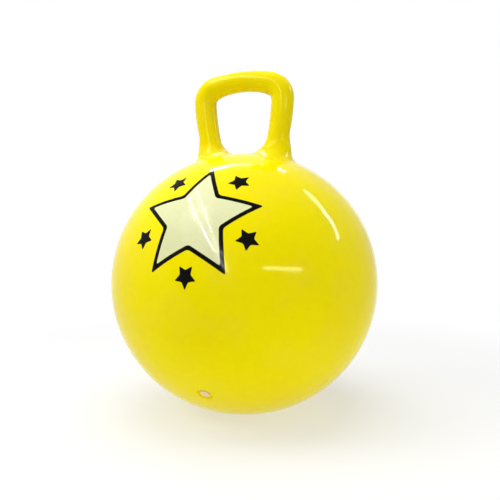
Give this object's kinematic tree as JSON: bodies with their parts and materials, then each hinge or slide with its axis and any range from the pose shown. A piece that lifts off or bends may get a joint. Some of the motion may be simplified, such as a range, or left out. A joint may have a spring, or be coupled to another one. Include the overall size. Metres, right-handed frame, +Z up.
{
  "type": "hopper ball",
  "caption": "Inflated vinyl hopper ball with a hollow loop handle on its crown, a recessed air valve with a pull-out plug, and a star print on the front.",
  "frame": {"origin": "middle of the flat patch that the ball stands on", "axes": "+Z up through the ball and the handle, +X along the handle's bar, -Y towards the front with the print and the valve"},
  "size_m": [0.4499, 0.45, 0.578],
  "materials": {
    "vinyl": "glossy soft vinyl, moulded in yellow",
    "plug": "satin soft plastic, ivory",
    "pale_ink": "glossy cream ink",
    "dark_ink": "glossy black ink"
  },
  "bodies": {
    "ball": {"ball_skin": "vinyl", "handle_loop": "vinyl", "valve_seat": "vinyl", "print_pale": "pale_ink", "print_dark": "dark_ink"},
    "plug": {"valve_plug": "plug"}
  },
  "joints": [
    {"name": "plug_pull", "type": "slide", "parent": "ball", "child": "plug", "axis": [0, -0.7286, -0.6849], "range_m": [0, 0.03]}
  ]
}
